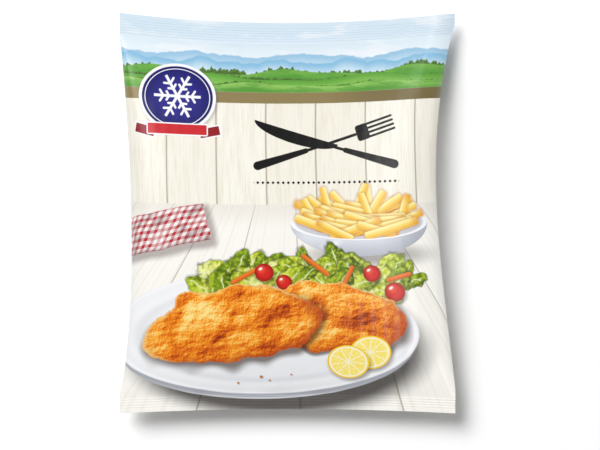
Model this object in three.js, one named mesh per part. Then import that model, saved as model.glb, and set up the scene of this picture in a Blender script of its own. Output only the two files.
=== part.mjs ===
// A sealed pillow bag of frozen breaded cutlets: one tube of printed film with a crimped seal at
// each end, lying on its back with the printed front up.
//
// Millimetres. +X runs across the bag, +Y from the bottom seal to the top seal, +Z up through the
// front. The origin is on the floor, under the centre of the bag.

import * as THREE from 'three';

// The flat film, cut edge to cut edge.
const BAG_WIDTH = 268;
const BAG_LENGTH = 320;

// The filled middle.
const EDGE_HEIGHT = 24; // of the long sides above the floor
const FRONT_RISE = 31; // of the front above the long sides
const BACK_DROP = 34; // of the back below them, before the floor flattens it

// The seals.
const TOP_SEAL = 17; // width of each crimped band
const BOTTOM_SEAL = 13;
const SEAL_THICKNESS = 0.7;
const SEAL_HEIGHT = 19.5; // of the line where the film opens, above the floor
const SEAL_DROOP = 2.5; // from that line to the cut edge
const CORNER_LIFT = 2; // of a seal's ends above its middle
const CORNER_CURL = 5.5; // how far the top right corner turns down
const CURL_START = 0.84; // where that begins, as a share of the half width
const RIB_PITCH = 2;
const RIB_HEIGHT = 0.4;
const PLAIN_EDGE = 3; // band without ribs along each cut edge

// How far the filled bag draws its edges in.
const TOP_ARC = 8; // sag of the top edge between its corners
const BOTTOM_ARC = 3.4; // rise of the bottom edge between its corners
const LEFT_SIDE = { pull: 9.2, waist: -25, from: -141, to: 139 };
const RIGHT_SIDE = { pull: 15.5, waist: 33, from: -141, to: 150 };
const PULL_FULLNESS = 0.8; // under 1 keeps the pull nearly even along the middle

// Powers that round the section and the length: lower is squarer.
const FRONT_ROUND = 0.46;
const BACK_ROUND = 0.45;
const END_ROUND = 0.85;
const END_FLATNESS = 2.6; // higher keeps the thickness further towards the seals

// The cutlets inside, felt as broad swellings of the front.
const SWELLINGS = [
  { x: -48, y: 62, radius: 62, height: 2.2 },
  { x: 50, y: 38, radius: 58, height: 1.6 },
  { x: -30, y: -50, radius: 66, height: 1.8 },
  { x: 56, y: -72, radius: 54, height: 2.0 },
];

// Mesh steps.
const COLUMNS = 34;
const BODY_ROWS = 28;
const EVEN_SHARE = 0.5; // of the spacing that stays even; the rest crowds towards the ends

const BOTTOM_EDGE = -BAG_LENGTH / 2;
const TOP_EDGE = BAG_LENGTH / 2;
const BODY_BOTTOM = BOTTOM_EDGE + BOTTOM_SEAL;
const BODY_TOP = TOP_EDGE - TOP_SEAL;

// Maps -1..1 onto itself with smaller steps towards both ends.
function crowdEnds(a) {
  return EVEN_SHARE * a + (1 - EVEN_SHARE) * Math.sin((a * Math.PI) / 2);
}

// The places along the bag where the mesh has a row: two for each rib of a seal.
function rowPlaces() {
  const step = RIB_PITCH / 2;
  const places = [];
  for (let y = BOTTOM_EDGE; y < BODY_BOTTOM; y += step) {
    places.push(y);
  }
  const middle = (BODY_BOTTOM + BODY_TOP) / 2;
  const half = (BODY_TOP - BODY_BOTTOM) / 2;
  for (let row = 0; row <= BODY_ROWS; row += 1) {
    places.push(middle + half * crowdEnds((2 * row) / BODY_ROWS - 1));
  }
  for (let y = BODY_TOP + step; y <= TOP_EDGE; y += step) {
    places.push(y);
  }
  return places;
}

// How far a long side has drawn in at height y, most at its waist.
function pullIn(side, y) {
  const along = THREE.MathUtils.clamp((y - side.from) / (side.to - side.from), 0, 1);
  const waist = (side.waist - side.from) / (side.to - side.from);
  const centred = along ** (Math.log(0.5) / Math.log(waist));
  return side.pull * Math.max(0, Math.sin(Math.PI * centred)) ** PULL_FULLNESS;
}

// 1 in the middle of the filled length, 0 in both seals.
function fullness(y) {
  const middle = (BODY_BOTTOM + BODY_TOP) / 2;
  const half = (BODY_TOP - BODY_BOTTOM) / 2;
  const away = Math.min(1, Math.abs(y - middle) / half);
  return (1 - away ** END_FLATNESS) ** END_ROUND;
}

// Height of the seal line and the long sides above the floor.
function edgeHeight(y, across) {
  const full = fullness(y);
  const outside = Math.max(BODY_BOTTOM - y, y - BODY_TOP, 0) / TOP_SEAL;
  const seal = SEAL_HEIGHT - SEAL_DROOP * outside + CORNER_LIFT * across ** 2;
  const turned = y > 0 ? THREE.MathUtils.clamp((across - CURL_START) / (1 - CURL_START), 0, 1) : 0;
  const end = seal - CORNER_CURL * turned ** 2;
  return end + (EDGE_HEIGHT - end) * full;
}

// The crimp of the seals: plain at the body and at the cut edge, with a ridge in every pitch between.
function crimp(y) {
  const inSeal = Math.max(BODY_BOTTOM - y, y - BODY_TOP, 0);
  const toEdge = Math.min(y - BOTTOM_EDGE, TOP_EDGE - y);
  const isRibbed = inSeal > 0 && toEdge >= PLAIN_EDGE;
  return isRibbed ? (RIB_HEIGHT / 2) * Math.cos((2 * Math.PI * inSeal) / RIB_PITCH) : 0;
}

// The height that the cutlets inside add to the front.
function swelling(x, y) {
  let height = 0;
  for (const spot of SWELLINGS) {
    const distance = Math.hypot(x - spot.x, y - spot.y) / spot.radius;
    height += spot.height * Math.exp(-distance * distance);
  }
  return height;
}

// A point of the film: a is -1..1 across the tube, y0 its place along the flat film.
function filmPoint(a, y0, isFront) {
  const across = crowdEnds(a);
  const left = -BAG_WIDTH / 2 + pullIn(LEFT_SIDE, y0);
  const right = BAG_WIDTH / 2 - pullIn(RIGHT_SIDE, y0);
  const x = THREE.MathUtils.lerp(left, right, (across + 1) / 2);

  const along = (y0 - BOTTOM_EDGE) / BAG_LENGTH;
  const arc = THREE.MathUtils.lerp(BOTTOM_ARC, -TOP_ARC, along);
  const y = y0 + arc * (1 - across ** 2);

  const section = Math.max(0, Math.cos((a * Math.PI) / 2));
  const full = fullness(y0);
  const edge = edgeHeight(y0, across) + crimp(y0);
  if (isFront) {
    const rise = FRONT_RISE * section ** FRONT_ROUND + swelling(x, y) * section;
    return new THREE.Vector3(x, y, edge + SEAL_THICKNESS / 2 + rise * full);
  }
  const drop = BACK_DROP * section ** BACK_ROUND;
  return new THREE.Vector3(x, y, Math.max(0, edge - SEAL_THICKNESS / 2 - drop * full));
}

// A thin closed slab, each of whose points is moved to its place on the film.
function bagGeometry() {
  const rows = rowPlaces();
  const lastRow = rows.length - 1;
  const geometry = new THREE.BoxGeometry(2, 2, 2, COLUMNS, lastRow, 1);
  const points = geometry.attributes.position;
  for (let index = 0; index < points.count; index += 1) {
    const row = Math.round(((points.getY(index) + 1) / 2) * lastRow);
    const point = filmPoint(points.getX(index), rows[row], points.getZ(index) > 0);
    points.setXYZ(index, point.x, point.y, point.z);
  }
  geometry.computeVertexNormals();
  return geometry;
}

const film = new THREE.MeshStandardMaterial({ color: 0xe9e4d6, roughness: 0.35, metalness: 0 });
const bag = new THREE.Mesh(bagGeometry(), film);
bag.name = 'bag';

const group = new THREE.Group();
group.add(bag);

export default group;
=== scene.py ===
import math
import random

import bpy
import numpy as np
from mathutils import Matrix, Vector


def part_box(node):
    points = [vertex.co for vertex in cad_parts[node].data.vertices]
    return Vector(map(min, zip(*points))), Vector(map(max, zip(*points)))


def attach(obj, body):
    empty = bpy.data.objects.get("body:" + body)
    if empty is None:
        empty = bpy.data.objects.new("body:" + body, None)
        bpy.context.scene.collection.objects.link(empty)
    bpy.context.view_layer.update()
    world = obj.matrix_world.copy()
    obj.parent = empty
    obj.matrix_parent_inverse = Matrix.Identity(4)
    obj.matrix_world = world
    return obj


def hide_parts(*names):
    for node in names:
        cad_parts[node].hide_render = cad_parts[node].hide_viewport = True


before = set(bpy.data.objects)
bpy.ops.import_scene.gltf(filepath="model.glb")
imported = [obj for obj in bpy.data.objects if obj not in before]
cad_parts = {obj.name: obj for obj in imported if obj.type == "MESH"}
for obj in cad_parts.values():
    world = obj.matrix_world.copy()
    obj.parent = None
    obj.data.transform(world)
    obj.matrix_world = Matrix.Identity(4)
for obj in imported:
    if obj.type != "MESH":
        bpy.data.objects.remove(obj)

print("bag: frame loaded")
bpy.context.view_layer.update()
bagLow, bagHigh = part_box("bag")
mm = 0.001

# The film is one flat tube, welded across at both ends and then filled.
film = {
    "width": bagHigh.x - bagLow.x,
    "length": bagHigh.y - bagLow.y,
    "slack": 14 * mm,  # film length that the filling takes up
    "topSeal": 17 * mm,
    "bottomSeal": 13 * mm,
    "sealHeight": 21 * mm,
    "topDroop": -1.2 * mm,  # from the line where the film opens to the cut edge
    "bottomDroop": 2.5 * mm,
    "cornerLift": 2 * mm,
    "curl": 9 * mm,  # how far the top right corner turns down
    "curlFrom": 0.84,
    "topArc": 8 * mm,  # how far the cut edges bow in
    "bottomArc": 3.4 * mm,
    # how far each long side has drawn in, where most, and between which heights
    "left": {"pull": 9.2 * mm, "waist": -25 * mm, "low": -141 * mm, "high": 139 * mm},
    "right": {"pull": 15.5 * mm, "waist": 33 * mm, "low": -141 * mm, "high": 150 * mm},
    "pullFullness": 0.8,
    "endFlatness": 2.6,  # higher keeps the bag full further towards the seals
    "endRound": 0.85,
    "columns": 56,  # cells of the simulated film, across the front
    "rows": 72,
    "sealRows": 4,
    "refine": 3,  # fine cells in each simulated one
    "sharpAngle": 55,  # degrees, above which an edge of the film is drawn sharp
}
bottomEdge, topEdge = bagLow.y, bagHigh.y
bodyBottom, bodyTop = bottomEdge + film["bottomSeal"], topEdge - film["topSeal"]


def pullIn(side, y):  # how far a long side has drawn in at y
    along = np.clip((y - side["low"]) / (side["high"] - side["low"]), 0, 1)
    waist = (side["waist"] - side["low"]) / (side["high"] - side["low"])
    centred = along ** (math.log(0.5) / math.log(waist))
    return side["pull"] * np.maximum(0, np.sin(math.pi * centred)) ** film["pullFullness"]


def sidesAt(y):  # the left and right outline
    return -film["width"] / 2 + pullIn(film["left"], y), film["width"] / 2 - pullIn(film["right"], y)


def edgeArc(across, y):  # the bow of the cut edges, shared out along the bag
    along = (y - bottomEdge) / film["length"]
    bow = film["bottomArc"] * (1 - along) - film["topArc"] * along
    return bow * (1 - across ** 2)


def sealHeightAt(across, y):
    out = np.maximum(np.maximum(bodyBottom - y, y - bodyTop), 0) / film["topSeal"]
    isTop = np.greater(y, 0)
    curl = film["curl"] * np.clip((across - film["curlFrom"]) / (1 - film["curlFrom"]), 0, 1) ** 2
    fall = np.where(isTop, film["topDroop"], film["bottomDroop"]) * out + curl * isTop
    return film["sealHeight"] + film["cornerLift"] * across ** 2 - fall


def ringPlaces(columns):  # round the tube: front left to right, back right to left
    step = np.arange(2 * columns)
    isFront = step <= columns
    return np.where(isFront, -1 + 2 * step / columns, 3 - 2 * step / columns), isFront


# The filling: pressure opens the flat film over the floor.
filling = {
    "volume": 2.7e-3,  # cubic metres of cutlets and air
    "pressure": 25.0,
    "frames": 32,
    "scale": 10.0,  # the solver likes things a few metres across
    "tension": 80.0,
    "compression": 60.0,
    "shear": 25.0,
    "bending": 0.5,
    "mass": 0.05,
    "quality": 8,
    "edgeStart": 22 * mm,  # the film before the first frame
    "riseStart": 30 * mm,
    "dropStart": 24 * mm,
    "gapStart": 1.2 * mm,  # from the floor to the back
    "apart": 0.05 * mm,  # half the gap between the two flat layers
    "clearance": 0.01,  # in the solver's scale
    "floorReach": 6.0,
}

# The first small creases, which the solver then deepens.
creases = {
    "seed": 5,
    "perSeal": 15,
    "perSide": 13,
    "depth": 1.1 * mm,
    "width": (2.5 * mm, 7 * mm),
    "length": (14 * mm, 46 * mm),
    "lean": 0.5,
}


def creaseHeight(s, y):  # s runs across the film, y along it
    rng = np.random.default_rng(creases["seed"])
    half = film["width"] / 2
    height = np.zeros_like(s)
    starts = [(s, y - bodyBottom, half, creases["perSeal"]), (s, bodyTop - y, half, creases["perSeal"])]
    starts += [(y, half + s, bodyTop, creases["perSide"]), (y, half - s, bodyTop, creases["perSide"])]
    for along, away, reach, count in starts:
        for _ in range(count):
            place, lean = rng.uniform(-reach, reach), rng.uniform(-1, 1) * creases["lean"]
            width, length = rng.uniform(*creases["width"]), rng.uniform(*creases["length"])
            depth = rng.choice((-1, 1)) * rng.uniform(0.3, 1) * creases["depth"]
            line = (along - place - lean * away) / (width * (1 + away / length))
            height += depth * np.exp(-line ** 2 - np.maximum(0, away) / length)
    return height


def fullnessAt(y):
    middle, half = (bodyBottom + bodyTop) / 2, (bodyTop - bodyBottom) / 2
    away = np.minimum(1, np.abs(y - middle) / half)
    return (1 - away ** film["endFlatness"]) ** film["endRound"]


def startShape(y, across, isFront):
    full = fullnessAt(y)
    section = np.sqrt(np.maximum(0, np.cos(across * math.pi / 2)))
    left, right = sidesAt(y)
    x = left + (right - left) * (1 + across) / 2
    edge = sealHeightAt(across, y) * (1 - full) + filling["edgeStart"] * full
    crease = creaseHeight(across * film["width"] / 2, y) * section * (full > 0)
    front = edge + filling["riseStart"] * full * section + crease
    back = np.maximum(filling["gapStart"], edge - filling["dropStart"] * full * section)
    return np.stack([x, y + edgeArc(across, y), np.where(isFront, front, back)], axis=-1)


def filmRows():  # where each row ends up, and its place on the flat film
    sealRows, rows = film["sealRows"], film["rows"]
    places = np.concatenate([
        np.linspace(bottomEdge, bodyBottom, sealRows + 1)[:-1],
        np.linspace(bodyBottom, bodyTop, rows + 1),
        np.linspace(bodyTop, topEdge, sealRows + 1)[1:],
    ])
    along = np.clip((places - bodyBottom) / (bodyTop - bodyBottom), 0, 1)
    return places, places + film["slack"] * (along - 0.5)


def filmMesh():  # the start, the flat film, and which vertex is where
    columns, rows, first = film["columns"], film["rows"], film["sealRows"]
    last = first + rows
    places, flatPlaces = filmRows()
    across, isFront = ringPlaces(columns)
    start, flat, index = [], [], np.zeros((len(places), 2 * columns), int)
    for j, y in enumerate(places):
        shape = startShape(np.full(2 * columns, y), across, isFront)
        for k in range(2 * columns):
            welded = not first < j < last
            if welded and k > columns:
                index[j, k] = index[j, 2 * columns - k]
                continue
            index[j, k] = len(start)
            start.append(shape[k])
            apart = 0 if welded or k in (0, columns) else filling["apart"]
            flat.append((across[k] * film["width"] / 2, flatPlaces[j], apart if isFront[k] else -apart))
    faces = []
    for j in range(len(places) - 1):
        ring = 2 * columns if first <= j < last else columns
        for k in range(ring):
            m = (k + 1) % (2 * columns)
            faces.append([int(v) for v in (index[j, k], index[j, m], index[j + 1, m], index[j + 1, k])])
    scale = filling["scale"]
    mesh = bpy.data.meshes.new("fillingFilm")
    mesh.from_pydata((np.array(start) * scale).tolist(), [], faces)
    return mesh, np.array(flat) * scale, index


def addToScene(name, mesh):
    piece = bpy.data.objects.new(name, mesh)
    bpy.context.scene.collection.objects.link(piece)
    return piece


def squareMesh(name, reach):
    corners = [(-reach, -reach, 0), (reach, -reach, 0), (reach, reach, 0), (-reach, reach, 0)]
    mesh = bpy.data.meshes.new(name)
    mesh.from_pydata(corners, [], [(0, 1, 2, 3)])
    return mesh


def simulateFilling():
    mesh, flat, index = filmMesh()
    first, last = film["sealRows"], film["sealRows"] + film["rows"]
    cloth = addToScene("fillingFilm", mesh)
    cloth.shape_key_add(name="start")
    flatKey = cloth.shape_key_add(name="flat")
    flatKey.data.foreach_set("co", flat.ravel())
    welds = np.unique(np.concatenate([index[:first + 1].ravel(), index[last:].ravel()]))
    for name, group in (("held", welds), ("open", np.unique(index[first:last + 1]))):
        cloth.vertex_groups.new(name=name).add(group.tolist(), 1.0, "ADD")
    floor = addToScene("fillingFloor", squareMesh("fillingFloor", filling["floorReach"]))
    floor.modifiers.new("Collision", "COLLISION")
    floor.collision.thickness_outer = filling["clearance"]
    modifier = cloth.modifiers.new("Cloth", "CLOTH")
    settings = modifier.settings
    settings.quality = filling["quality"]
    settings.mass = filling["mass"]
    settings.tension_stiffness = filling["tension"]
    settings.compression_stiffness = filling["compression"]
    settings.shear_stiffness = filling["shear"]
    settings.bending_stiffness = filling["bending"]
    settings.use_pressure = True
    settings.uniform_pressure_force = 0
    settings.use_pressure_volume = True
    settings.target_volume = filling["volume"] * filling["scale"] ** 3
    settings.pressure_factor = filling["pressure"]
    settings.vertex_group_pressure = "open"
    settings.vertex_group_mass = "held"
    settings.rest_shape_key = flatKey
    modifier.collision_settings.distance_min = filling["clearance"]
    modifier.point_cache.frame_start = 1
    modifier.point_cache.frame_end = filling["frames"]
    scene = bpy.context.scene
    scene.frame_start, scene.frame_end = 1, filling["frames"]
    for number in range(1, filling["frames"] + 1):
        scene.frame_set(number)
    settled = cloth.evaluated_get(bpy.context.evaluated_depsgraph_get()).to_mesh()
    points = np.empty(len(settled.vertices) * 3)
    settled.vertices.foreach_get("co", points)
    grid = points.reshape(-1, 3)[index] / filling["scale"]
    bpy.data.objects.remove(cloth)
    bpy.data.objects.remove(floor)
    scene.frame_set(1)
    return grid[first:last + 1]


# The welded ends: two layers pressed together, with ribs across them.
seal = {
    "gauge": 0.28 * mm,  # half of the two layers
    "ribPitch": 2.1 * mm,
    "ribDepth": 0.26 * mm,
    "row": 0.5 * mm,
    "plain": 2.6 * mm,  # without ribs, along the cut edge
    "floorGap": 0.75 * mm,  # room under the film for the back seam
    "flatUnder": 2 * mm,  # the back is as the solver left it below this height
    "sidePower": 60,  # higher keeps the two layers apart nearer to the sides
}


def fitSides(grid):  # each row as wide as the bag's true outline
    low = grid[..., 0].min(axis=1, keepdims=True)
    high = grid[..., 0].max(axis=1, keepdims=True)
    left, right = sidesAt(grid[:, [0], 1])
    grid[..., 0] = left + (grid[..., 0] - low) * (right - left) / (high - low)
    return grid


def catmull(values, count, axis, closed):  # count new points for each old one, on a smooth curve
    values = np.moveaxis(values, axis, 0)
    n = len(values)
    spots = np.arange(n * count if closed else (n - 1) * count + 1) / count
    base = np.floor(spots).astype(int)
    t = (spots - base).reshape((-1,) + (1,) * (values.ndim - 1))
    numbers = [base + k for k in (-1, 0, 1, 2)]
    a, b, c, d = (values[i % n if closed else np.clip(i, 0, n - 1)] for i in numbers)
    out = b + 0.5 * t * (c - a + t * (2 * a - 5 * b + 4 * c - d + t * (3 * (b - c) + d - a)))
    return np.moveaxis(out, 0, axis)


def sealGrid(places, columns):
    across, _ = ringPlaces(columns)
    grid = np.empty((len(places), len(across), 3))
    for j, y in enumerate(places):
        inSeal = max(bodyBottom - y, y - bodyTop)
        toEdge = min(y - bottomEdge, topEdge - y)
        share = min(1, inSeal / mm) * np.clip((toEdge - seal["plain"]) / mm, 0, 1)
        rib = seal["ribDepth"] * share * math.cos(2 * math.pi * inSeal / seal["ribPitch"])
        left, right = sidesAt(y)
        grid[j, :, 0] = left + (right - left) * (1 + across) / 2
        grid[j, :, 1] = y + edgeArc(across, y)
        grid[j, :, 2] = sealHeightAt(across, y) + rib
    return grid


def wholeBag(bodyGrid):  # rows of points round the tube, and each row's place in the print
    columns = film["columns"] * film["refine"]
    rows = catmull(fitSides(bodyGrid), film["refine"], 0, False)
    fine = catmull(rows, film["refine"], 1, True)
    bottomPlaces = np.arange(bottomEdge, bodyBottom - 1e-6, seal["row"])
    topPlaces = np.arange(bodyTop + seal["row"], topEdge + 1e-6, seal["row"])
    drop = fine[..., 2].min() - seal["floorGap"]
    grid = np.concatenate([sealGrid(bottomPlaces, columns), fine, sealGrid(topPlaces, columns)])
    grid[..., 2] -= drop
    across, isFront = ringPlaces(columns)
    half = np.where(isFront, 1, -1) * (1 - np.abs(across) ** seal["sidePower"]) * seal["gauge"]
    grid[..., 2] += np.where((half < 0) & (grid[..., 2] < seal["flatUnder"]), 0, half)
    bodyPlaces = np.linspace(bodyBottom, bodyTop, len(fine))
    return grid, np.concatenate([bottomPlaces, bodyPlaces, topPlaces])


def filmFaces(ids, u, v):  # quads between rows of points, with their places in the print
    quads = np.stack([ids[:-1, :-1], ids[:-1, 1:], ids[1:, 1:], ids[1:, :-1]], axis=-1)
    across = np.stack([u[:-1, :-1], u[:-1, 1:], u[1:, 1:], u[1:, :-1]], axis=-1)
    along = np.stack([v[:-1, :-1], v[:-1, 1:], v[1:, 1:], v[1:, :-1]], axis=-1)
    return quads.reshape(-1, 4), np.stack([across, along], axis=-1).reshape(-1, 4, 2)


def filmPiece(name, points, parts):  # parts are the (quads, print places) of each side
    mesh = bpy.data.meshes.new(name)
    quads = np.concatenate([part[0] for part in parts])
    places = np.concatenate([part[1] for part in parts])
    whole = (quads[:, 0] != quads[:, 3]) & (quads[:, 1] != quads[:, 2])
    faces, corners = [], []
    for quad, place, isQuad in zip(quads.tolist(), places.tolist(), whole):
        kept = [0, 1, 2, 3] if isQuad else [0, 1, 2] if quad[0] == quad[3] else [0, 1, 3]
        faces.append([quad[c] for c in kept])
        corners += [place[c] for c in kept]
    mesh.from_pydata(points.reshape(-1, 3).tolist(), [], faces)
    uv = mesh.uv_layers.new(name="Film")
    uv.data.foreach_set("uv", np.array(corners).ravel())
    mesh.polygons.foreach_set("use_smooth", [True] * len(mesh.polygons))
    mesh.set_sharp_from_angle(angle=math.radians(film["sharpAngle"]))
    piece = addToScene(name, mesh)
    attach(piece, "root")
    return piece


def makeShell(grid, printPlaces):  # the tube, and the cut ends of both seals
    rows, ring = grid.shape[:2]
    columns = ring // 2
    ids = np.arange(rows * ring).reshape(rows, ring)
    halves = []
    backMiddle = ring // 4 * 3
    for order in (np.arange(backMiddle + 1), np.arange(backMiddle, ring + 1)):
        u = -film["width"] / 2 + order * film["width"] / columns
        u = u - 2 * film["width"] * (order[0] > 0)
        u, v = np.meshgrid(u, printPlaces)
        halves.append(filmFaces(ids[:, order % ring], u, v))
    for row, flip in ((0, 1), (rows - 1, -1)):
        order = np.arange(columns + 1)
        pair = np.stack([ids[row, (ring - order) % ring], ids[row, order]])[::flip]
        u, v = np.meshgrid(-film["width"] / 2 + order * film["width"] / columns, printPlaces[[row, row]])
        halves.append(filmFaces(pair, u, v))
    bag = filmPiece("printedFilm", grid, halves)
    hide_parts("bag")
    return bag


# The lap seam that closes the tube, flat under the middle of the back.
backSeam = {
    "cells": 8,  # fine cells across, from the middle of the back
    "gap": 0.12 * mm,  # from the film to the strip
    "thickness": 0.24 * mm,
}


def makeSeam(grid, printPlaces):
    ring = grid.shape[1]
    middle = ring // 4 * 3
    near = grid[:, middle - 1:middle + backSeam["cells"] + 2]
    down = np.cross(np.gradient(near, axis=1), np.gradient(near, axis=0))
    down *= -np.sign(down[..., 2:]) / np.linalg.norm(down, axis=-1, keepdims=True)
    strip, down = near[:, 1:-1], down[:, 1:-1]
    upper = strip + down * backSeam["gap"]
    lower = strip + down * (backSeam["gap"] + backSeam["thickness"])
    points = np.stack([upper, lower])
    ids = np.arange(points[..., 0].size).reshape(points.shape[:3])
    u = film["width"] + np.arange(strip.shape[1]) * film["width"] / (ring // 2)
    u, v = np.meshgrid(u, printPlaces)
    parts = [filmFaces(ids[0, :, ::-1], u[:, ::-1], v), filmFaces(ids[1], u, v)]
    for side, order in ((0, 1), (-1, -1)):
        edge = np.stack([ids[0, :, side], ids[1, :, side]], axis=1)[:, ::order]
        parts.append(filmFaces(edge, np.stack([u[:, side]] * 2, axis=1), np.stack([printPlaces] * 2, axis=1)))
        edge = np.stack([ids[1, side], ids[0, side]])[::order]
        parts.append(filmFaces(edge, np.stack([u[side]] * 2), np.full((2, u.shape[1]), printPlaces[side])))
    seam = filmPiece("backSeam", points, parts)
    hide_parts("bag")
    return seam


body = simulateFilling()
print("bag: filled, %.1f mm high" % (body[..., 2].max() / mm))
grid, printPlaces = wholeBag(body)
bag = makeShell(grid, printPlaces)
seam = makeSeam(grid, printPlaces)
print("bag: %d faces of film and %d of back seam" % (len(bag.data.polygons), len(seam.data.polygons)))


# The print is painted with nodes: every field of colour is laid over the one before it.
paint = {"tree": None, "uv": None, "paper": None}  # the nodes being laid, and their film in mm
filmWhite = 0.8  # the share of light that the unprinted film gives back


class Field:  # a number or a colour on its way through the nodes
    def __init__(self, socket):
        self.socket = socket

    def calc(self, operation, *others):
        node = newNode("Math", operation)
        feed(node, self, *others)
        return Field(node.outputs[0])

    def __add__(self, other):
        return self.calc("ADD", other)

    def __sub__(self, other):
        return self.calc("SUBTRACT", other)

    def __mul__(self, other):
        return self.calc("MULTIPLY", other)

    def __truediv__(self, other):
        return self.calc("DIVIDE", other)

    def __abs__(self):
        return self.calc("ABSOLUTE")


class Place:  # the film as seen from one shape: across it and up it
    def __init__(self, across, up):
        self.across = across
        self.up = up
        self.joined = {}

    def vector(self, third=0):
        if third not in self.joined:
            node = newNode("CombineXYZ")
            feed(node, self.across, self.up, third)
            self.joined[third] = Field(node.outputs[0])
        return self.joined[third]

    def at(self, x, y, turn=0, wide=1, high=1):  # seen from a spot, in its own turn and size
        c, s = math.cos(math.radians(turn)), math.sin(math.radians(turn))
        across = (c / wide, s / wide, -(x * c + y * s) / wide)
        up = (-s / high, c / high, (x * s - y * c) / high)
        return Place(*(vectorMath("DOT_PRODUCT", self.vector(1), row) for row in (across, up)))

    def far(self):
        return vectorMath("LENGTH", self.vector())

    def bar(self, halfWide, halfHigh=0):  # how far outside a block, or off a line
        inside = vectorMath("SUBTRACT", vectorMath("ABSOLUTE", self.vector()), (halfWide, halfHigh, 0))
        return vectorMath("LENGTH", vectorMath("MAXIMUM", inside, (0, 0, 0)))


def newNode(kind, operation=None):
    node = paint["tree"].nodes.new("ShaderNode" + kind)
    if operation:
        node.operation = operation
    return node


def put(slot, value):
    if isinstance(value, Field):
        paint["tree"].links.new(value.socket, slot)
    else:
        slot.default_value = value


def feed(node, *values):
    for slot, value in zip(node.inputs, values):
        put(slot, value)


def vectorMath(operation, *values):
    node = newNode("VectorMath", operation)
    feed(node, *values)
    return Field(node.outputs["Value" if operation in ("LENGTH", "DOT_PRODUCT") else "Vector"])


def ink(red, green, blue):  # a printed colour, from the usual 0 to 255
    linear = [((c / 255 + 0.055) / 1.055) ** 2.4 for c in (red, green, blue)]
    return (*(c * filmWhite for c in linear), 1)


def fade(value, full, none, strength=1):  # strength at full, 0 at none, smooth between
    node = newNode("MapRange")
    node.interpolation_type = "SMOOTHSTEP"
    node.clamp = False
    feed(node, value, none, full, 0, strength)
    return Field(node.outputs["Result"])


def lay(under, mask, over):
    node = newNode("Mix")
    node.data_type = "RGBA"
    for slot, value in ((0, mask), (6, under), (7, over)):
        put(node.inputs[slot], value)
    return Field(node.outputs[2])


def ramp(value, *stops):
    node = newNode("ValToRGB")
    feed(node, value)
    points = node.color_ramp.elements
    for number, (spot, colour) in enumerate(stops):
        point = points[number] if number < 2 else points.new(spot)
        point.position = spot
        point.color = colour
    return Field(node.outputs["Color"])


def grain(size, seed=0, detail=2, rough=0.5, turn=0, stretch=(1, 1), shift=(0, 0), output="Fac"):
    mapping = newNode("Mapping")
    mapping.vector_type = "TEXTURE"
    place = ((413 * seed + shift[0]) * mm, (289 * seed + shift[1]) * mm, 0)
    cell = (size * stretch[0] * mm, size * stretch[1] * mm, 1)
    feed(mapping, paint["uv"], place, (0, 0, math.radians(turn)), cell)
    noise = newNode("TexNoise")
    noise.noise_dimensions = "2D"
    feed(noise, Field(mapping.outputs[0]), 0, 1, detail, rough)
    return Field(noise.outputs[output])


def lit(size, seed, step, **options):  # the same grain, lit from the upper left
    return grain(size, seed, **options) - grain(size, seed, shift=(-0.7 * step, 0.7 * step), **options)


def chance(number, seed=0):
    number = number + seed
    node = newNode("TexWhiteNoise")
    node.noise_dimensions = "1D"
    put(node.inputs["W"], number)
    return Field(node.outputs["Value"])


def wobble(place, size, amount, seed=0, detail=2):  # the place, pushed about by noise
    push = grain(size, seed, detail, output="Color")
    node = newNode("SeparateColor")
    feed(node, push)
    pushes = [Field(slot).calc("MULTIPLY_ADD", 2 * amount, -amount) for slot in list(node.outputs)[:2]]
    return Place(place.across + pushes[0], place.up + pushes[1])


def openFilm(tree):  # start painting in a tree of nodes
    paint["tree"] = tree
    uv = tree.nodes.new("ShaderNodeUVMap")
    uv.uv_map = "Film"
    paint["uv"] = Field(uv.outputs["UV"])
    split = newNode("SeparateXYZ")
    feed(split, paint["uv"])
    paint["paper"] = Place(Field(split.outputs[0]) / mm, Field(split.outputs[1]) / mm)


def layer(name, painter, under, *details):  # one part of the picture, as a node group of its own
    outer = dict(paint)
    group = bpy.data.node_groups.new(name, "ShaderNodeTree")
    group.interface.new_socket("Under", in_out="INPUT", socket_type="NodeSocketColor")
    group.interface.new_socket("Colour", in_out="OUTPUT", socket_type="NodeSocketColor")
    start = group.nodes.new("NodeGroupInput")
    openFilm(group)
    result = painter(Field(start.outputs[0]), *details)
    feed(group.nodes.new("NodeGroupOutput"), result)
    paint.update(outer)
    node = newNode("Group")
    node.node_tree = group
    feed(node, under)
    return Field(node.outputs[0])


# The landscape across the top.
landscape = {
    "bottom": 101.4,
    "skyTop": ink(215, 232, 245),
    "skyLow": ink(232, 243, 250),
    "cloud": ink(250, 252, 254),
    "ridges": (  # height, bow, waves round the bag, phase, upper and lower colour
        (132.5, 1.9, 6, 0.4, ink(158, 200, 229), ink(202, 229, 243)),
        (127.5, 1.8, 9, 2.1, ink(138, 192, 225), ink(210, 233, 246)),
        (118.5, 2.2, 5, 1.2, ink(118, 178, 78), ink(92, 161, 64)),
        (113.5, 2.4, 4, 4.4, ink(100, 165, 64), ink(130, 190, 86)),
        (108, 1.6, 5, 3.0, ink(148, 200, 100), ink(92, 159, 62)),
    ),
    "treeDark": ink(58, 92, 44),
    "treeLight": ink(112, 152, 68),
    "hedges": {2: (4.6, ink(78, 112, 56)), 3: (2.2, ink(74, 114, 50)), 4: (1.5, ink(70, 110, 48))},
    "meadow": ink(85, 152, 58),
    "band": ink(145, 129, 87),
    "bandPaintedShade": ink(120, 106, 66),  # painted shade, towards the bag's right side
    "bandLow": 92.2,
}
tubeRound = 2 * film["width"] / mm


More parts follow.
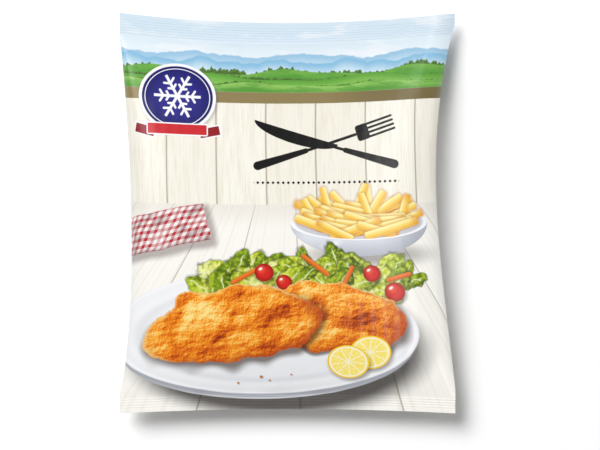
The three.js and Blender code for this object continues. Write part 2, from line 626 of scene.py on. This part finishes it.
def waves(x, bow, count, phase):  # rolls that meet again at the back seam
    turn = 2 * math.pi * count / tubeRound
    first = x.calc("MULTIPLY_ADD", turn, phase).calc("SINE")
    second = x.calc("MULTIPLY_ADD", turn * 2, phase * 1.7).calc("SINE")
    return first * bow + second * (bow * 0.4)


def paintLandscape(under):
    x, y = paint["paper"].across, paint["paper"].up
    colour = lay(landscape["skyTop"], fade(y, 132, 152), landscape["skyLow"])
    drift = grain(30, 3, 3, 0.6, stretch=(1.8, 0.45))
    colour = lay(colour, fade(drift, 0.68, 0.5, 0.5), landscape["cloud"])
    meadow = grain(8, 5, 3, 0.6, stretch=(2.6, 0.5))
    for number, (height, bow, count, phase, high, low) in enumerate(landscape["ridges"]):
        crest = waves(x, bow, count, phase) + height
        isFar = number < 2
        if isFar:
            crest = crest + grain(15, number + 8, 3, 0.6, stretch=(1, 40)) * 6 - 3
        if number in landscape["hedges"]:
            tall, leaf = landscape["hedges"][number]
            bumps = grain(3.4, number, 3, 0.6, stretch=(1, 60)) + grain(34, number + 2, 1, stretch=(1, 9))
            over = bumps.calc("MULTIPLY_ADD", 2.4 * tall, -2.05 * tall) + crest - y
            bush = lay(leaf, fade(grain(1.5, number + 4), 0.64, 0.4, 0.75), landscape["treeLight"])
            bush = lay(bush, fade(over, tall, 0.4, 0.7), landscape["treeDark"])
            colour = lay(colour, fade(over, 0.3, -0.2), bush)
        depth = crest - y
        slope = lay(high, fade(depth, 12 if isFar else 7, 0), low)
        if not isFar:
            slope = lay(slope, fade(meadow, 0.62 - 0.04 * number, 0.5, 0.5), landscape["meadow"])
        soft = 0.7 if isFar else 0.25
        colour = lay(colour, fade(depth, soft, -soft), slope)
    colour = lay(under, fade(y, landscape["bottom"] + 0.2, landscape["bottom"] - 0.2), colour)
    low = landscape["bandLow"]
    # painted shade: the band darkens towards the bag's right side, where the film turns away from the light
    aside = x.calc("MULTIPLY", 2 * math.pi / tubeRound).calc("SINE")
    band = lay(landscape["band"], fade(aside, 1, 0.3), landscape["bandPaintedShade"])
    half = (landscape["bottom"] - low) / 2
    return lay(colour, fade(abs(y - low - half), half - 0.2, half + 0.2), band)


# The pale boards behind the plate, and those of the table.
boards = {
    "count": 13,  # round the whole tube, so that they meet at the back seam
    "shift": 96,
    "face": ink(250, 247, 236),
    "grain": ink(231, 224, 205),
    "joint": ink(158, 147, 128),
    "tableLine": 9,
    "tableFace": ink(255, 253, 247),
    "tableGrain": ink(226, 219, 207),
    "tableJoint": ink(176, 168, 156),
    "vanish": (10, 122),
    "tableBoards": 3.4,
}


def paintBoards(under):
    x = paint["paper"].across
    pitch = tubeRound / boards["count"]
    along = (x + boards["shift"]) / pitch
    number = along.calc("FLOOR")
    inside = abs(along - number - 0.5)
    streaks = grain(1.1, 1, 4, 0.65, stretch=(1, 26))
    rings = grain(7, 2, 2, 0.5, stretch=(1, 9))
    worn = chance(number, 7) * 0.6 + 0.3
    colour = lay(boards["face"], fade(streaks, 0.72, 0.45) * worn, boards["grain"])
    colour = lay(colour, fade(rings, 0.7, 0.5, 0.4), boards["grain"])
    colour = lay(colour, chance(number) * 0.3, boards["grain"])
    colour = lay(colour, fade(inside, 0.5, 0.46, 0.3), boards["joint"])
    return lay(colour, fade(inside, 0.492, 0.485, 0.75), boards["joint"])


def paintTable(under):
    x, y = paint["paper"].across, paint["paper"].up
    sideways, height = boards["vanish"]
    along = (x - sideways) / (y * -1 + height) * boards["tableBoards"]
    number = along.calc("FLOOR")
    inside = abs(along - number - 0.5)
    node = newNode("TexNoise")
    node.noise_dimensions = "1D"
    node.inputs["Detail"].default_value = 4
    node.inputs["Scale"].default_value = 14
    put(node.inputs["W"], along)
    colour = lay(boards["tableFace"], fade(Field(node.outputs["Fac"]), 0.72, 0.48, 0.3), boards["tableGrain"])
    colour = lay(colour, chance(number, 31) * 0.25, boards["tableGrain"])
    colour = lay(colour, fade(inside, 0.496, 0.484, 0.8), boards["tableJoint"])
    colour = lay(colour, fade(y, boards["tableLine"], boards["tableLine"] - 22, 0.5), boards["tableGrain"])
    return lay(under, fade(y, boards["tableLine"] - 0.4, boards["tableLine"] + 0.6), colour)


# The cloth, a common red and white check.
cloth = {
    "middle": (-100, -12),
    "turn": 12,
    "half": (36, 14),
    "square": 6.4,
    "white": ink(250, 244, 242),
    "red": ink(186, 22, 42),
    "shade": ink(112, 92, 92),
}


def paintCloth(under):
    x, y = cloth["middle"]
    wide, high = cloth["half"]
    rippled = wobble(paint["paper"], 24, 2, 4, 1)
    shadow = rippled.at(x + 3, y - 3.5, cloth["turn"]).bar(wide, high)
    under = lay(under, fade(shadow, 0, 7, 0.6), cloth["shade"])
    local = rippled.at(x, y, cloth["turn"])
    slant = (local.across - local.up * 0.8) / cloth["square"]
    deep = local.up * 1.25 / cloth["square"]
    stripes = [fade(abs(value.calc("FRACT") - 0.5), 0.28, 0.255) for value in (slant, deep)]
    weave = ((stripes[0] + stripes[1]) * 0.5).calc("POWER", 0.7)
    colour = lay(cloth["white"], weave, cloth["red"])
    folds = grain(11, 8, 1, turn=36, stretch=(2.2, 0.8))
    colour = lay(colour, fade(folds, 0.72, 0.5, 0.45), cloth["shade"])
    colour = lay(colour, fade(folds, 0.28, 0.46, 0.25), cloth["white"])
    colour = lay(colour, fade(local.up, -high - 1, -high + 3, 0.45), cloth["shade"])
    return lay(under, fade(local.bar(wide, high), 0.8, 1.3), colour)


# The bowl of chips.
bowl = {
    "middle": (62, -6),
    "rim": (57, 14),
    "depth": 27,
    "chips": 38,
    "perLayer": 12,  # of the chips in one group of nodes
    "seed": 11,
    "light": ink(255, 241, 170),
    "gold": ink(252, 217, 104),
    "brown": ink(244, 188, 66),
    "tip": ink(232, 158, 44),
    "dark": ink(196, 124, 42),
    "china": ink(226, 229, 236),
    "gleam": ink(250, 251, 254),
    "shade": ink(150, 154, 168),
    "inside": ink(206, 207, 212),
    "shadow": ink(90, 84, 80),
}


def paintChip(under, x, y, turn, half, wide, tipped):
    local = paint["paper"].at(x, y, turn, wide, wide)
    away = local.bar(half / wide - 0.6, 0.4)
    under = lay(under, fade(away, 0.4, 1.4, 0.5), bowl["dark"])
    side = 1 if math.cos(math.radians(turn)) > 0 else -1
    colour = lay(bowl["gold"], fade(local.up * side, 0.8, -0.2), bowl["light"])
    colour = lay(colour, fade(local.up * side, -0.45, -0.2, 0.8), bowl["brown"])
    ends = fade(local.across * tipped, half / wide, half / wide - 3, 0.7)
    colour = lay(colour, ends, bowl["tip"])
    return lay(under, fade(away, 0.5, 0.66), colour)


def chipSpots():  # from the back of the heap to its front
    x, y = bowl["middle"]
    draw = random.Random(bowl["seed"])
    for number in range(bowl["chips"]):
        near = (number + 0.5) / bowl["chips"]
        aside = min(1, max(-1, 2 * ((number * 0.618) % 1) - 1 + draw.uniform(-0.12, 0.12)))
        heap = 1 - 0.5 * aside ** 2
        half, wide = draw.uniform(16, 24), draw.uniform(2.7, 3.5)
        upright = near < 0.5 and number % 3 > 0
        lean = draw.uniform(-40, 40)
        turn = 90 - aside * 58 + lean * 0.7 if upright else aside * 20 + lean * (1 - abs(aside))
        spot = aside * (bowl["rim"][0] - 4 - half * abs(math.cos(math.radians(turn))))
        lift = (16 - 9 * near) * heap if upright else (19 - 27 * near) * heap
        yield x + spot, y + lift, turn, half * (0.8 if upright else 1), wide, draw.choice((-1, 1))


def paintChips(under, spots):
    for spot in spots:
        under = paintChip(under, *spot)
    return under


def paintBowlBody(under, isFront):  # first the whole bowl, then its near wall over the chips
    x, y = bowl["middle"]
    wide, high = bowl["rim"]
    paper = paint["paper"]
    local = paper.at(x, y, 0, wide, bowl["depth"])
    inner = paper.at(x, y, 0, wide, high).far()
    body = lay(bowl["china"], fade(local.across, 1.0, 0.05, 0.7), bowl["shade"])
    body = lay(body, fade(local.across, -1.0, -0.75, 0.4), bowl["shade"])
    body = lay(body, fade(local.up, -1.0, -0.35, 0.6), bowl["shade"])
    body = lay(body, fade(paper.at(x - wide * 0.42, y - 17, 12, 13, 4).far(), 0.1, 1, 0.8), bowl["gleam"])
    whole = fade(local.far(), 0.99, 1.005) * fade(local.up, 0, 0.02)
    if isFront:
        under = lay(under, whole * fade(inner, 1.0, 0.99), body)
        rim = fade(abs(inner - 0.965), 0.02, 0.04) * fade(local.up, -0.05, 0.05)
        return lay(under, rim, bowl["gleam"])
    ground = paper.at(x + 6, y - bowl["depth"] + 1, 0, wide * 0.85, 9).far()
    under = lay(under, fade(ground, 0.4, 1.5, 0.65), bowl["shadow"])
    under = lay(under, whole, body)
    under = lay(under, fade(inner, 0.99, 1.005), bowl["gleam"])
    under = lay(under, fade(inner, 0.9, 0.95), bowl["inside"])
    heap = wobble(paper, 9, 2.5, 21).at(x, y + 2, 0, wide * 0.8, high * 0.85).far()
    fill = lay(bowl["dark"], fade(grain(4, 22, 1, turn=20, stretch=(2.5, 0.7)), 0.6, 0.4), bowl["brown"])
    return lay(under, fade(heap, 0.95, 1.05), fill)


# The plate.
plate = {
    "middle": (-20, -96),
    "half": (126, 51),
    "face": ink(240, 241, 244),
    "light": ink(252, 252, 253),
    "rim": ink(252, 252, 254),
    "under": ink(170, 173, 182),
    "shadow": ink(52, 47, 44),
    "crumb": ink(192, 122, 58),
    "crumbs": ((-22, -133, 1.5), (-15, -136, 1.0), (-40, -138, 1.1), (2, -131, 0.9)),
}


def paintPlate(under):
    x, y = plate["middle"]
    wide, high = plate["half"]
    paper = paint["paper"]
    shadow = paper.at(x + 12, y - 14, 0, wide * 0.88, high).far()
    under = lay(under, fade(shadow, 0.94, 1.22, 0.92), plate["shadow"])
    side = lay(plate["under"], fade(paper.at(x, y - 2, 0, wide, high).far(), 1.05, 1.0, 0.6), plate["light"])
    under = lay(under, fade(paper.at(x, y - 4.5, 0, wide * 0.985, high).far(), 0.985, 1.005), side)
    local = paper.at(x, y, 0, wide, high)
    edge = local.far()
    colour = lay(plate["face"], fade(local.up - local.across * 0.5, 1.0, -0.6, 0.45), plate["light"])
    hollow = paper.at(x, y - 1, 0, wide * 0.8, high * 0.76).far()
    colour = lay(colour, fade(abs(hollow - 1.0), 0.0, 0.1, 0.18), plate["under"])
    colour = lay(colour, fade(abs(hollow - 1.1), 0.0, 0.09, 0.4), plate["light"])
    colour = lay(colour, fade(abs(edge - 0.975), 0.0, 0.022, 0.9), plate["rim"])
    under = lay(under, fade(edge, 0.994, 1.006), colour)
    for across, up, size in plate["crumbs"]:
        shadow = paper.at(across + 0.7, up - 0.8, 0, size, size * 0.8).far()
        under = lay(under, fade(shadow, 0.5, 1.4, 0.6), plate["under"])
        crumb = paper.at(across, up, 0, size, size * 0.8).far()
        under = lay(under, fade(crumb, 0.8, 1.1), plate["crumb"])
    return under


# The breaded cutlets.
cutlets = {
    "spots": (  # middle, turn and half sizes, then the puffs of the crust
        ((34, -82), -9, (62, 28), (0.35, 0.25, 0.4, 0.5), (-0.25, 0.35, 0.34, 0.4), (0.2, -0.45, 0.5, 0.34)),
        ((-46, -91), 9, (72, 33), (-0.3, 0.2, 0.42, 0.5), (0.4, 0.3, 0.34, 0.42), (0.15, -0.4, 0.55, 0.36)),
    ),
    "shadow": ink(70, 42, 24),
    "toast": ink(184, 68, 10),
    "crumb": ink(255, 214, 132),
    "crust": (
        (0.04, ink(126, 34, 0)),
        (0.28, ink(204, 84, 4)),
        (0.50, ink(240, 132, 18)),
        (0.70, ink(255, 178, 52)),
        (0.95, ink(255, 234, 150)),
    ),
}


def paintCutlet(under, number, middle, turn, half, *puffs):
    x, y = middle
    ragged = wobble(paint["paper"], 26, 8, number, 0)
    shadow = ragged.at(x + 2.5, y - 3.5, turn, *half).far()
    under = lay(under, fade(shadow, 0.94, 1.12, 0.8), cutlets["shadow"])
    ragged = wobble(ragged, 6, 2.6, number + 3, 3)
    local = ragged.at(x, y, turn, *half)
    edge = local.far()
    slope = local.up - local.across
    tone = slope * 0.06 + 0.32
    for across, up, wide, high in puffs:
        puff = local.at(across, up, 0, wide, high)
        tone = tone + fade(puff.far(), 0.7, 1.02) * (puff.up - puff.across * 0.6) * 0.24
    tone = tone + lit(26, number, 6.0, detail=1, turn=turn, stretch=(1.2, 0.85)) * 0.8
    tone = tone + lit(7, number + 5, 2.0, detail=2, turn=turn, stretch=(1.2, 0.85)) * 0.8
    tone = tone + lit(1.8, number + 7, 0.6, detail=3, rough=0.7, turn=turn) * 0.95
    tone = tone + grain(28, number + 9, 3, 0.55) * 0.6 - 0.08
    colour = ramp(tone, *cutlets["crust"])
    rim = fade(edge + slope * -0.05, 1.04, 0.84, 0.8)
    colour = lay(colour, rim, cutlets["toast"])
    lip = fade(edge, 0.985, 0.93, 0.65) * fade(local.up - local.across * 0.6, 0.3, -0.4)
    colour = lay(colour, lip, cutlets["crumb"])
    return lay(under, fade(edge, 0.985, 1.005), colour)


# Leaves, small tomatoes and lemon slices.
salad = {
    "leaves": 40,
    "perLayer": 10,
    "seed": 4,
    "deep": ink(66, 88, 10),
    "mids": (ink(116, 146, 12), ink(164, 188, 20), ink(200, 214, 44)),
    "pales": (ink(186, 204, 54), ink(226, 234, 100), ink(246, 248, 172)),
    "rib": ink(236, 242, 190),
    "shadow": ink(40, 54, 20),
    "tomatoes": ((88, -62, 8.4), (70, -47, 7.2), (-18, -46, 7.8), (-2, -54, 6.6)),
    "lemons": ((66, -112, 17, 8), (48, -120, 17, -6)),
    "carrots": ((-34, -49, 28, 11), (24, -40, -38, 12), (50, -50, 62, 9), (92, -50, 15, 9)),
    "carrot": ink(238, 122, 34),
    "carrotShade": ink(196, 84, 22),
    "tomato": ink(214, 36, 26),
    "tomatoShade": ink(142, 14, 14),
    "tomatoGlow": ink(244, 96, 66),
    "gleam": ink(255, 240, 232),
    "flesh": ink(255, 230, 100),
    "fleshPale": ink(255, 246, 180),
    "pith": ink(254, 248, 214),
    "peel": ink(250, 208, 36),
    "segments": 9,
}


def paintLeaf(under, frill, veins, x, y, turn, long, wide, fresh):
    local = frill.at(x, y, turn, long, wide)
    edge = local.far()
    under = lay(under, fade(edge, 0.98, 1.18, 0.6), salad["shadow"])
    pale = salad["pales"][int(fresh * 3)]
    colour = lay(salad["mids"][int(fresh * 3)], fade(local.across, -0.8, 0.6, 0.85), pale)
    colour = lay(colour, fade(local.up, -0.9, 0.3, 0.85 - 0.6 * fresh), salad["deep"])
    colour = lay(colour, fade(veins, 0.66, 0.5, 0.65), pale)
    colour = lay(colour, fade(veins, 0.3, 0.45, 0.5), salad["deep"])
    colour = lay(colour, fade(edge, 1.0, 0.85, 0.35), salad["deep"])
    colour = lay(colour, fade(abs(local.up), 0.02, 0.14, 0.8) * fade(local.across, 0.5, 0.85), salad["rib"])
    return lay(under, fade(edge, 0.97, 1.03), colour)


def paintTomato(under, x, y, size):
    paper = paint["paper"]
    shadow = paper.at(x + 1.4, y - 2.2, 0, size, size * 0.9).far()
    under = lay(under, fade(shadow, 0.8, 1.25, 0.6), salad["shadow"])
    edge = paper.at(x, y, 0, size, size * 0.94).far()
    colour = lay(salad["tomato"], fade(edge, 1.0, 0.45, 0.75), salad["tomatoShade"])
    glow = paper.at(x - size * 0.3, y + size * 0.3, 0, size, size).far()
    colour = lay(colour, fade(glow, 0.05, 0.62, 0.75), salad["tomatoGlow"])
    gleam = paper.at(x - size * 0.36, y + size * 0.38, 30, size * 0.26, size * 0.16).far()
    colour = lay(colour, fade(gleam, 0.5, 1.1), salad["gleam"])
    return lay(under, fade(edge, 0.97, 1.03), colour)


def paintLemon(under, x, y, size, turn):
    paper = paint["paper"]
    shadow = paper.at(x + 1.4, y - 2.2, turn, size, size * 0.8).far()
    under = lay(under, fade(shadow, 0.85, 1.2, 0.6), cutlets["shadow"])
    local = paper.at(x, y, turn, size, size * 0.82)
    edge = local.far()
    angle = local.up.calc("ARCTAN2", local.across)
    segment = abs((angle * (salad["segments"] / (2 * math.pi))).calc("FRACT") - 0.5) * edge
    flesh = lay(salad["flesh"], fade(grain(1.6, 3), 0.62, 0.46, 0.6), salad["fleshPale"])
    flesh = lay(flesh, fade(edge * 0.5 - segment, 0.015, 0.055), salad["pith"])
    colour = lay(flesh, fade(edge, 0.84, 0.8), salad["pith"])
    colour = lay(colour, fade(edge, 0.93, 0.9), salad["peel"])
    return lay(under, fade(edge, 0.98, 1.02), colour)


def leafSpots():
    draw = random.Random(salad["seed"])
    for number in range(salad["leaves"]):
        share = (number * 0.382) % 1
        x = 102 - 170 * share + draw.uniform(-6, 6)
        y = -44 - 20 * number / salad["leaves"] + 9 * math.sin(share * 3.1) + draw.uniform(-5, 5)
        turn, long, wide = draw.uniform(10, 170), draw.uniform(11, 19), draw.uniform(4.5, 8.5)
        yield x, y, turn, long, wide, draw.random()


def paintLeaves(under, spots):
    frill = wobble(paint["paper"], 7, 2.6, 6, 1)
    veins = grain(3.6, 12, 1)
    for spot in spots:
        under = paintLeaf(under, frill, veins, *spot)
    return under


def paintRaw(under):  # the small tomatoes and strips of carrot
    for x, y, turn, half in salad["carrots"]:
        local = paint["paper"].at(x, y, turn)
        away = local.bar(half, 0.4)
        colour = lay(salad["carrot"], fade(local.up, -1.5, 0.5, 0.8), salad["carrotShade"])
        under = lay(under, fade(away, 1.0, 3.4, 0.5), salad["shadow"])
        under = lay(under, fade(away, 1.2, 1.7), colour)
    for spot in salad["tomatoes"]:
        under = paintTomato(under, *spot)
    return under


def paintLemons(under):
    for spot in salad["lemons"]:
        under = paintLemon(under, *spot)
    return under


# The badge and the crossed fork and knife, where a pack has its name.
badge = {
    "middle": (-87, 95),
    "half": (32, 28),
    "blue": ink(46, 42, 138),
    "deep": ink(30, 28, 104),
    "white": ink(252, 252, 255),
    "red": ink(204, 34, 44),
    "redShade": ink(146, 20, 30),
    "shadow": ink(60, 60, 84),
    "twigs": ((0.34, 0.2), (0.58, 0.26)),  # start and length of the snowflake's side arms
    "twigTurn": 58,
}


def paintBadge(under):
    x, y = badge["middle"]
    wide, high = badge["half"]
    paper = paint["paper"]
    under = lay(under, fade(paper.at(x + 1, y - 1.5, 0, wide, high).far(), 0.97, 1.08, 0.35), badge["shadow"])
    edge = paper.at(x, y, 0, wide, high).far()
    under = lay(under, fade(edge, 0.995, 1.01), badge["white"])
    blue = lay(badge["blue"], fade(edge, 0.94, 0.3), badge["deep"])
    under = lay(under, fade(edge, 0.915, 0.93), blue)
    under = lay(under, fade(abs(edge - 0.84), 0.006, 0.016), badge["white"])
    local = paper.at(x, y + 1, 0, high * 0.72, high * 0.72)
    reach = local.far()
    sixth = math.pi / 3
    angle = local.up.calc("ARCTAN2", local.across) + sixth / 2
    folded = (angle / sixth).calc("FRACT").calc("MULTIPLY_ADD", sixth, -sixth / 2)
    arm = Place(folded.calc("COSINE") * reach, abs(folded.calc("SINE") * reach))
    mask = fade(arm.up, 0.045, 0.065) * fade(arm.across, 0.95, 0.97)
    for start, long in badge["twigs"]:
        turn = math.radians(badge["twigTurn"])
        middle = (start + long / 2 * math.cos(turn), long / 2 * math.sin(turn))
        twig = arm.at(*middle, badge["twigTurn"])
        mask = mask.calc("MAXIMUM", fade(twig.bar(long / 2), 0.035, 0.055))
    under = lay(under, mask, badge["white"])
    low = y - high + 2
    for side in (-1, 1):
        tail = paper.at(x + side * 27, low - 1.5, side * 12).bar(8, 3.4)
        under = lay(under, fade(tail, 1.1, 1.5), badge["white"])
        under = lay(under, fade(tail, 0.1, 0.5), badge["redShade"])
    body = paper.at(x, low).bar(24, 3.6)
    under = lay(under, fade(body, 1.3, 1.7), badge["white"])
    return lay(under, fade(body, 0.3, 0.7), badge["red"])


cutlery = {
    "middle": (36, 58),
    "ink": ink(18, 16, 16),
    "turn": 17,
    "tines": (-5.4, -1.8, 1.8, 5.4),
    "rule": 27,  # height of the row of diamonds under them
    "ruleHalf": 60,
    "diamond": 4.2,
}


def paintCutlery(under):
    x, y = cutlery["middle"]
    turn = cutlery["turn"]
    fork, knife = (paint["paper"].at(x, y, angle) for angle in (turn, 180 - turn))
    lines = []  # a distance each, and how thick the line is drawn
    for tool in (fork, knife):
        lines.append((tool.at(-38, 0).bar(21) + tool.across * 0.035, 1.5))
        lines.append((tool.at(-4, 0).bar(30), 1.2))
    lines.append((fork.at(32, 0).bar(3, 4.4), 2.2))
    lines += [(fork.at(47, tine).bar(11), 0.95) for tine in cutlery["tines"]]
    mask = fade(lines[0][0], lines[0][1] - 0.25, lines[0][1] + 0.25)
    for distance, reach in lines[1:]:
        mask = mask.calc("MAXIMUM", fade(distance, reach - 0.25, reach + 0.25))
    belly = knife.at(26, -2.6, 0, 36, 9.4).far()
    blade = fade(belly, 0.99, 1.01) * fade(knife.up, -2.4, -2.8)
    mask = mask.calc("MAXIMUM", blade)
    rule = paint["paper"].at(x, cutlery["rule"])
    inCell = (rule.across / cutlery["diamond"]).calc("FRACT").calc("SUBTRACT", 0.5) * cutlery["diamond"]
    diamonds = fade(abs(inCell) + abs(rule.up), 1.1, 1.6)
    ruled = fade(abs(rule.across), cutlery["ruleHalf"], cutlery["ruleHalf"] + 0.4)
    return lay(under, mask.calc("MAXIMUM", diamonds * ruled), cutlery["ink"])


# The back, with two bare panels.
backPanel = {
    "middle": 204,
    "half": (38, 96),
    "round": 8,
    "face": ink(250, 248, 240),
}


def paintBack(under):
    folded = Place(abs(paint["paper"].across), paint["paper"].up)
    away = folded.at(backPanel["middle"], -20).bar(*backPanel["half"])
    under = lay(under, fade(away, backPanel["round"], backPanel["round"] + 0.5), landscape["band"])
    return lay(under, fade(away, backPanel["round"] - 1.5, backPanel["round"] - 1), backPanel["face"])


def inLayers(spots, count):
    return [spots[first:first + count] for first in range(0, len(spots), count)]


gloss = {
    "roughness": 0.3,
    "specular": 0.3,
}


def makePrint():
    material = bpy.data.materials.new("printedFilm")
    material.use_nodes = True
    paint["tree"] = material.node_tree
    chips = inLayers(list(chipSpots()), bowl["perLayer"])
    leaves = inLayers(list(leafSpots()), salad["perLayer"])
    parts = [
        ("boards", paintBoards), ("table", paintTable), ("landscape", paintLandscape), ("cloth", paintCloth),
        ("bowl", paintBowlBody, False),
        *[("chips", paintChips, spots) for spots in chips],
        ("bowlFront", paintBowlBody, True), ("plate", paintPlate),
        *[("leaves", paintLeaves, spots) for spots in leaves],
        ("rawSalad", paintRaw),
        *[("cutlet", paintCutlet, number + 1, *spot) for number, spot in enumerate(cutlets["spots"])],
        ("lemons", paintLemons), ("badge", paintBadge), ("cutlery", paintCutlery), ("back", paintBack),
    ]
    colour = ink(255, 255, 255)
    for name, painter, *details in parts:
        colour = layer(name, painter, colour, *details)
    principled = material.node_tree.nodes["Principled BSDF"]
    feed(principled, colour)
    principled.inputs["Roughness"].default_value = gloss["roughness"]
    principled.inputs["Specular IOR Level"].default_value = gloss["specular"]
    return material


printedFilm = makePrint()
for piece in (bag, seam):
    piece.data.materials.append(printedFilm)
print("bag: printed")

# A pale floor under soft light from the upper left. Two of the lights only show as sheen.
studio = {
    "cameraHeight": 2.2,
    "cameraX": 9.9 * mm,
    "cameraY": -9.4 * mm,
    "viewWidth": 480 * mm,
    "planeHeight": 18 * mm,
    "sensor": 36,  # of the camera, in real millimetres
    "floor": (0.98, 0.98, 0.98, 1),
    "floorRoughness": 0.9,
    "floorReach": 4.0,
    "world": 0.34,
    "lights": (  # name, place, size, power, and what it lights
        ("floorKey", (-2.0, 2.5, 3.5), (2.7, 2.7), 258, "floor"),
        ("bagKey", (-0.95, 0.95, 3.5), (2.6, 2.6), 142, "bag"),
        ("fillRight", (2.2, 0, 0.8), (0.8, 0.8), 12, "bag"),
        ("fillFront", (0, -2.2, 0.8), (0.8, 0.8), 4, "bag"),
        ("rightStrip", (0.75, 0, 1.7), (3.0, 0.1), 20, "sheen"),
        ("leftBox", (-0.92, 0.35, 0.84), (0.56, 0.56), 6, "sheen"),
    ),
}


def makeFloor():
    floor = addToScene("floor", squareMesh("floor", studio["floorReach"]))
    material = bpy.data.materials.new("paleFloor")
    material.use_nodes = True
    principled = material.node_tree.nodes["Principled BSDF"]
    principled.inputs["Base Color"].default_value = studio["floor"]
    principled.inputs["Roughness"].default_value = studio["floorRoughness"]
    floor.data.materials.append(material)
    return floor


def makeLight(name, place, size, power, role):
    data = bpy.data.lights.new(name, "AREA")
    data.shape = "RECTANGLE"
    data.size, data.size_y = size
    data.energy = power
    lamp = addToScene(name, data)
    lamp.location = place
    lamp.rotation_euler = (-Vector(place)).to_track_quat("-Z", "Y").to_euler()
    lamp.visible_camera = False
    lamp.visible_glossy = role == "sheen"
    lamp.visible_diffuse = role != "sheen"
    lamp.light_linking.receiver_collection = litBy["floor" if role == "floor" else "bag"]


def makeCamera():
    data = bpy.data.cameras.new("camera")
    data.sensor_width = studio["sensor"]
    distance = studio["cameraHeight"] - studio["planeHeight"]
    data.lens = studio["sensor"] * distance / studio["viewWidth"]
    camera = addToScene("camera", data)
    camera.location = (studio["cameraX"], studio["cameraY"], studio["cameraHeight"])
    bpy.context.scene.camera = camera


def makeWorld():
    world = bpy.data.worlds.new("studio")
    world.use_nodes = True
    background = world.node_tree.nodes["Background"]
    background.inputs["Color"].default_value = (1, 1, 1, 1)
    background.inputs["Strength"].default_value = studio["world"]
    bpy.context.scene.world = world


# The floor has a key light of its own, lower than the bag's, for the shadow beside the bag.
litBy = {}
for name, pieces in (("bag", (bag, seam)), ("floor", (makeFloor(),))):
    litBy[name] = bpy.data.collections.new(name + "Light")
    for piece in pieces:
        litBy[name].objects.link(piece)
for light in studio["lights"]:
    makeLight(*light)
makeWorld()
makeCamera()
bpy.context.scene.view_settings.view_transform = "Standard"
print("bag: studio lit")
